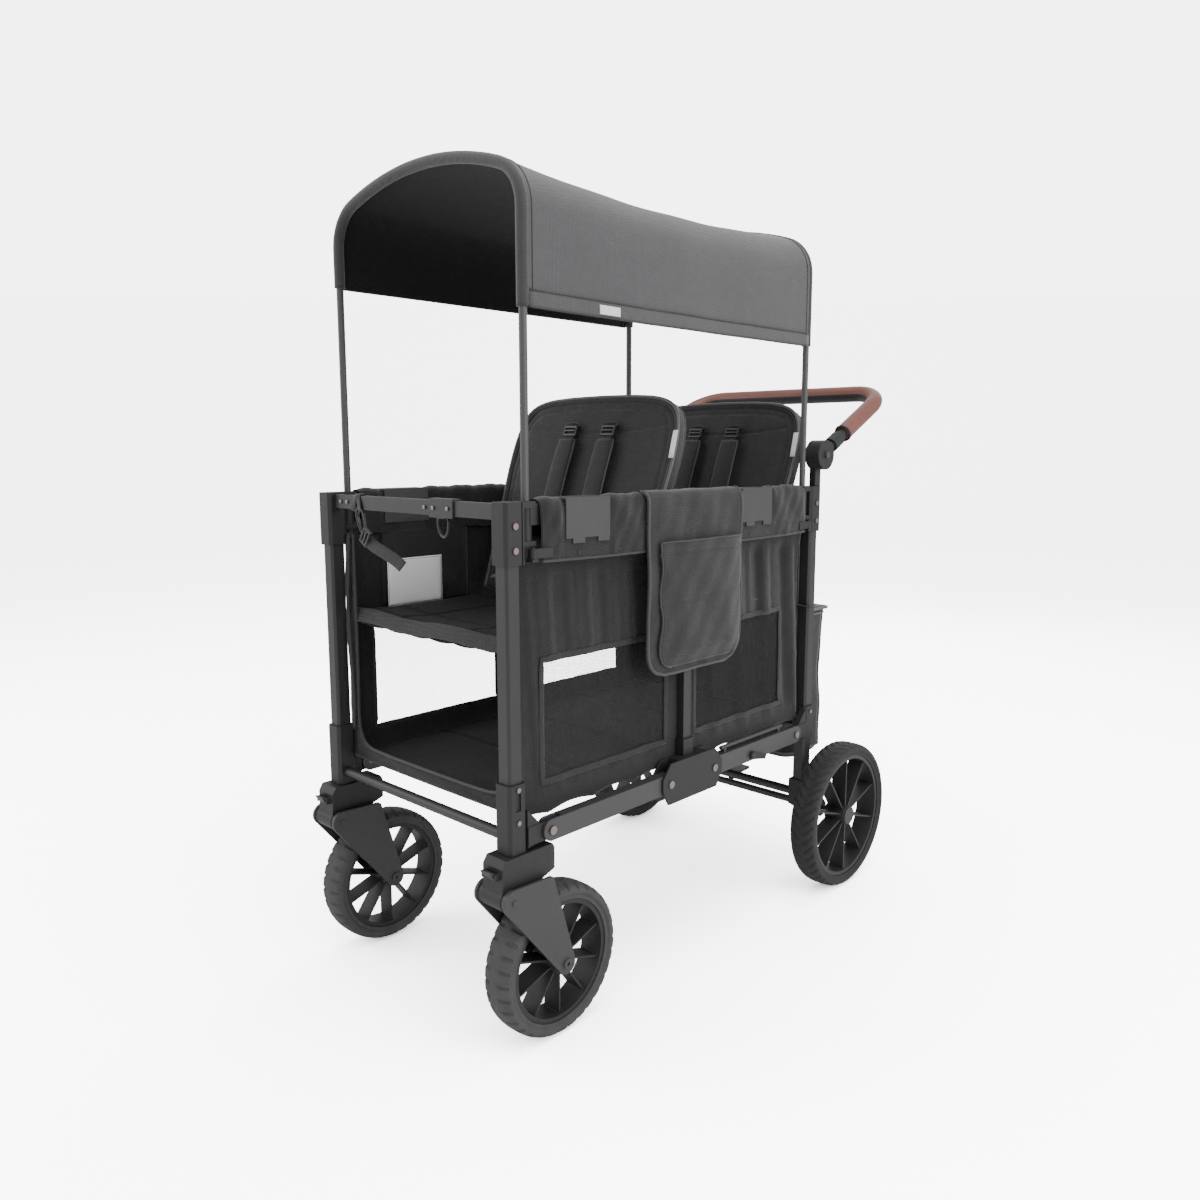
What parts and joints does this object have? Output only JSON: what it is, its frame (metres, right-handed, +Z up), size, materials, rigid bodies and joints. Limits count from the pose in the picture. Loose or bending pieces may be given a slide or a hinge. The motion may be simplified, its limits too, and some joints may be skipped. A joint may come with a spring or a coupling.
{
  "type": "folding two-seat pull wagon",
  "caption": "Folding pull wagon for children: cloth tub between four posts, two facing-forward seats, arched canopy, swivelling front casters, large rear wheels and a push handle.",
  "frame": {"origin": "on the ground under the middle of the wagon's box", "axes": "+Z up, handle end towards +Y, open entry end towards -Y, side pouch on the +X side"},
  "size_m": [0.6432, 1.1768, 1.3938],
  "materials": {
    "frame_paint": "matte black powder coat",
    "black_plastic": "fine matte grain",
    "grey_plastic": "satin",
    "tyre_rubber": "matte rubber",
    "bolt_metal": "warm satin metal",
    "black_cloth": "plain woven polyester",
    "canopy_cloth": "plain woven polyester",
    "brown_leather": "soft leather"
  },
  "bodies": {
    "rear_frame": {"rear_posts": "frame_paint", "rear_castings": "black_plastic", "rear_boots": "black_plastic", "rear_cross_bars": "frame_paint", "axle_carriers": "black_plastic", "rear_axle": "bolt_metal", "rear_fasteners": "bolt_metal", "handle_pivots": "black_plastic", "rear_basket": "black_cloth", "tub_walls": "black_cloth", "tub_floor": "black_cloth", "seat_bases": "black_cloth"},
    "basket_lid": {"basket_lid": "black_cloth"},
    "front_seat_back": {"front_seat_back": "black_cloth"},
    "rear_seat_back": {"rear_seat_back": "black_cloth"},
    "rear_wheel_near": {"rear_tyre_near": "tyre_rubber", "rear_rim_near": "grey_plastic"},
    "rear_wheel_far": {"rear_tyre_far": "tyre_rubber", "rear_rim_far": "grey_plastic"},
    "brake": {"brake_bar": "black_plastic"},
    "handle": {"handle_tube": "frame_paint", "handle_grip": "brown_leather", "handle_knobs": "black_plastic", "handle_collars": "black_plastic"},
    "handle_button_near": {"handle_button_near": "grey_plastic"},
    "handle_button_far": {"handle_button_far": "grey_plastic"},
    "rear_lower_rails": {"rear_lower_rails": "frame_paint"},
    "rail_latches": {"rail_latches": "black_plastic"},
    "middle": {"centre_plates": "black_plastic", "mid_posts": "frame_paint", "mid_brackets": "black_plastic", "fold_pins": "bolt_metal", "side_pouch": "black_cloth"},
    "front_lower_rails": {"front_lower_rails": "frame_paint"},
    "rear_top_rails": {"rear_top_rails": "frame_paint", "rear_seat_clips": "grey_plastic"},
    "front_top_rails": {"front_top_rails": "frame_paint", "front_seat_clips": "grey_plastic"},
    "front_frame": {"front_posts": "frame_paint", "front_castings": "black_plastic", "front_boots": "black_plastic", "front_cross_bars": "frame_paint", "front_fasteners": "bolt_metal"},
    "caster_near": {"caster_head_near": "black_plastic"},
    "caster_far": {"caster_head_far": "black_plastic"},
    "fork_near": {"caster_fork_near": "black_plastic"},
    "fork_far": {"caster_fork_far": "black_plastic"},
    "front_wheel_near": {"front_tyre_near": "tyre_rubber", "front_rim_near": "black_plastic"},
    "front_wheel_far": {"front_tyre_far": "tyre_rubber", "front_rim_far": "black_plastic"},
    "swivel_lock_near": {"swivel_lock_near": "grey_plastic"},
    "swivel_lock_far": {"swivel_lock_far": "grey_plastic"},
    "rear_hoop": {"rear_hoop": "frame_paint", "canopy_sheet": "canopy_cloth"},
    "front_hoop": {"front_hoop": "frame_paint"},
    "rear_lever_near": {"rear_lever_near": "black_plastic"},
    "rear_lever_far": {"rear_lever_far": "black_plastic"},
    "front_lever_near": {"front_lever_near": "black_plastic"},
    "front_lever_far": {"front_lever_far": "black_plastic"}
  },
  "joints": [
    {"name": "fold", "type": "hinge", "parent": "rear_frame", "child": "rear_lower_rails", "pos_m": [0, 0.2316, 0.3525], "axis": [-1, 0, 0], "range_deg": [0, 73], "deforming": ["tub_walls", "tub_floor", "seat_bases", "front_seat_back", "rear_seat_back", "canopy_sheet"]},
    {"name": "fold_middle", "type": "hinge", "parent": "rear_lower_rails", "child": "middle", "pos_m": [0, -0.0564, 0.3525], "axis": [-1, 0, 0], "range_deg": [-73, 0]},
    {"name": "fold_front_rails", "type": "hinge", "parent": "middle", "child": "front_lower_rails", "pos_m": [0, -0.1844, 0.3525], "axis": [-1, 0, 0], "range_deg": [-73, 0]},
    {"name": "fold_front_frame", "type": "hinge", "parent": "front_lower_rails", "child": "front_frame", "pos_m": [0, -0.4724, 0.3525], "axis": [-1, 0, 0], "range_deg": [0, 73]},
    {"name": "fold_rear_top", "type": "hinge", "parent": "rear_frame", "child": "rear_top_rails", "pos_m": [0, 0.2316, 0.8465], "axis": [-1, 0, 0], "range_deg": [0, 73]},
    {"name": "fold_front_top", "type": "hinge", "parent": "middle", "child": "front_top_rails", "pos_m": [0, -0.1844, 0.8465], "axis": [-1, 0, 0], "range_deg": [-73, 0]},
    {"name": "rail_latch", "type": "hinge", "parent": "rear_lower_rails", "child": "rail_latches", "pos_m": [0, 0.0696, 0.3465], "axis": [-1, 0, 0], "range_deg": [0, 25]},
    {"name": "caster_swivel_near", "type": "hinge", "parent": "front_frame", "child": "caster_near", "pos_m": [0.235, -0.5364, 0.33], "axis": [0, 0, 1], "continuous": true},
    {"name": "suspension_near", "type": "hinge", "parent": "caster_near", "child": "fork_near", "pos_m": [0.235, -0.5624, 0.266], "axis": [1, 0, 0], "range_deg": [0, 4.5], "stiffness_Nm_per_rad": 120, "springref_deg": -11.46},
    {"name": "front_wheel_spin_near", "type": "hinge", "parent": "fork_near", "child": "front_wheel_near", "pos_m": [0.235, -0.4524, 0.125], "axis": [1, 0, 0], "continuous": true},
    {"name": "swivel_lock_near", "type": "hinge", "parent": "caster_near", "child": "swivel_lock_near", "pos_m": [0.235, -0.5794, 0.3055], "axis": [1, 0, 0], "range_deg": [0, 30]},
    {"name": "rear_wheel_spin_near", "type": "hinge", "parent": "rear_frame", "child": "rear_wheel_near", "pos_m": [0.235, 0.3576, 0.1557], "axis": [1, 0, 0], "continuous": true},
    {"name": "handle_button_near", "type": "slide", "parent": "handle", "child": "handle_button_near", "axis": [-1, 0, 0], "range_m": [0, 0.004], "stiffness_N_per_m": 400, "springref_m": -0.003},
    {"name": "rear_lever_near", "type": "hinge", "parent": "rear_frame", "child": "rear_lever_near", "pos_m": [0.255, 0.2616, 0.789], "axis": [0, 0, 1], "range_deg": [0, 80]},
    {"name": "front_lever_near", "type": "hinge", "parent": "front_frame", "child": "front_lever_near", "pos_m": [0.255, -0.5024, 0.789], "axis": [0, 0, -1], "range_deg": [0, 80]},
    {"name": "caster_swivel_far", "type": "hinge", "parent": "front_frame", "child": "caster_far", "pos_m": [-0.235, -0.5364, 0.33], "axis": [0, 0, 1], "continuous": true},
    {"name": "suspension_far", "type": "hinge", "parent": "caster_far", "child": "fork_far", "pos_m": [-0.235, -0.5624, 0.266], "axis": [1, 0, 0], "range_deg": [0, 4.5], "stiffness_Nm_per_rad": 120, "springref_deg": -11.46},
    {"name": "front_wheel_spin_far", "type": "hinge", "parent": "fork_far", "child": "front_wheel_far", "pos_m": [-0.235, -0.4524, 0.125], "axis": [1, 0, 0], "continuous": true},
    {"name": "swivel_lock_far", "type": "hinge", "parent": "caster_far", "child": "swivel_lock_far", "pos_m": [-0.235, -0.5794, 0.3055], "axis": [1, 0, 0], "range_deg": [0, 30]},
    {"name": "rear_wheel_spin_far", "type": "hinge", "parent": "rear_frame", "child": "rear_wheel_far", "pos_m": [-0.235, 0.3576, 0.1557], "axis": [1, 0, 0], "continuous": true},
    {"name": "handle_button_far", "type": "slide", "parent": "handle", "child": "handle_button_far", "axis": [1, 0, 0], "range_m": [0, 0.004], "stiffness_N_per_m": 400, "springref_m": -0.003},
    {"name": "rear_lever_far", "type": "hinge", "parent": "rear_frame", "child": "rear_lever_far", "pos_m": [-0.255, 0.2616, 0.789], "axis": [0, 0, -1], "range_deg": [0, 80]},
    {"name": "front_lever_far", "type": "hinge", "parent": "front_frame", "child": "front_lever_far", "pos_m": [-0.255, -0.5024, 0.789], "axis": [0, 0, 1], "range_deg": [0, 80]},
    {"name": "handle_fold", "type": "hinge", "parent": "rear_frame", "child": "handle", "pos_m": [0, 0.3036, 0.93], "axis": [1, 0, 0], "range_deg": [-70, 50]},
    {"name": "brake_pedal", "type": "hinge", "parent": "rear_frame", "child": "brake", "pos_m": [0, 0.3256, 0.186], "axis": [-1, 0, 0], "range_deg": [0, 12]},
    {"name": "basket_lid", "type": "hinge", "parent": "rear_frame", "child": "basket_lid", "pos_m": [0, 0.3101, 0.59015], "axis": [1, 0, 0], "range_deg": [0, 90]},
    {"name": "canopy_height", "type": "slide", "parent": "rear_frame", "child": "rear_hoop", "axis": [0, 0, 1], "range_m": [-0.15, 0]},
    {"name": "canopy_height_front", "type": "slide", "parent": "front_frame", "child": "front_hoop", "axis": [0, 0, 1], "range_m": [-0.15, 0]},
    {"name": "front_seat_recline", "type": "hinge", "parent": "rear_frame", "child": "front_seat_back", "pos_m": [0, -0.2174, 0.656], "axis": [-1, 0, 0], "range_deg": [-15, 18]},
    {"name": "rear_seat_recline", "type": "hinge", "parent": "rear_frame", "child": "rear_seat_back", "pos_m": [0, 0.1776, 0.656], "axis": [-1, 0, 0], "range_deg": [-15, 0]}
  ],
  "couplings": [
    {"joint": "fold_middle", "follows": "fold", "ratio": -1},
    {"joint": "fold_front_rails", "follows": "fold", "ratio": -1},
    {"joint": "fold_front_frame", "follows": "fold", "ratio": 1},
    {"joint": "fold_rear_top", "follows": "fold", "ratio": 1},
    {"joint": "fold_front_top", "follows": "fold", "ratio": -1},
    {"joint": "canopy_height_front", "follows": "canopy_height", "ratio": 1}
  ]
}
